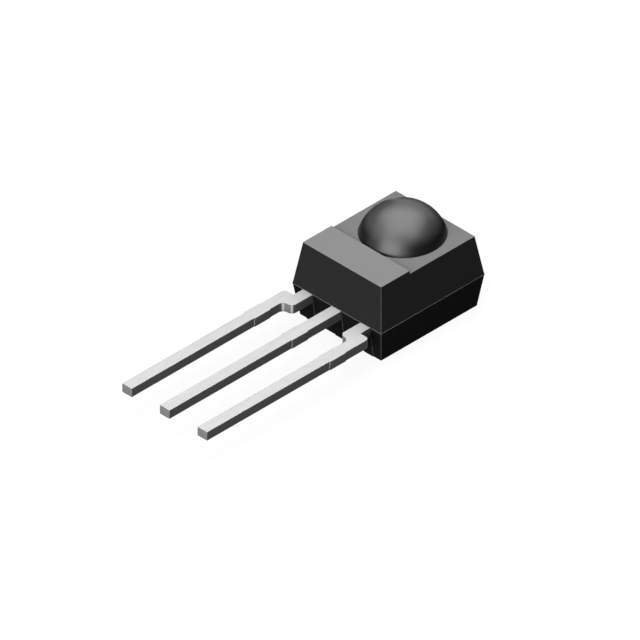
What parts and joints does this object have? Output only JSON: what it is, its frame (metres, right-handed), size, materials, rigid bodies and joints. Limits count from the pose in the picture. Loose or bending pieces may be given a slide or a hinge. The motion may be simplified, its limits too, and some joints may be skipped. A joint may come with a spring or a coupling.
{
  "type": "infrared receiver module",
  "caption": "Black epoxy infrared receiver with a dome lens on its front and a row of long tinned leads for a circuit board.",
  "frame": {"origin": "middle of the body's flat back face", "axes": "+Z out of the front, along the lens's axis; -Y along the leads; X across the row of leads, with the output lead at -X"},
  "size_m": [0.006, 0.0186, 0.0056],
  "materials": {
    "black_epoxy": "satin",
    "tin_plate": "satin",
    "silicon": "polished",
    "gold": "gloss"
  },
  "bodies": {
    "root": {"moulded_body": "black_epoxy", "output_lead": "tin_plate", "ground_lead": "tin_plate", "supply_lead": "tin_plate", "photodiode_chip": "silicon", "receiver_chip": "silicon", "photodiode_wire": "gold", "supply_wire": "gold", "output_wire": "gold", "ground_wire": "gold"}
  },
  "joints": []
}
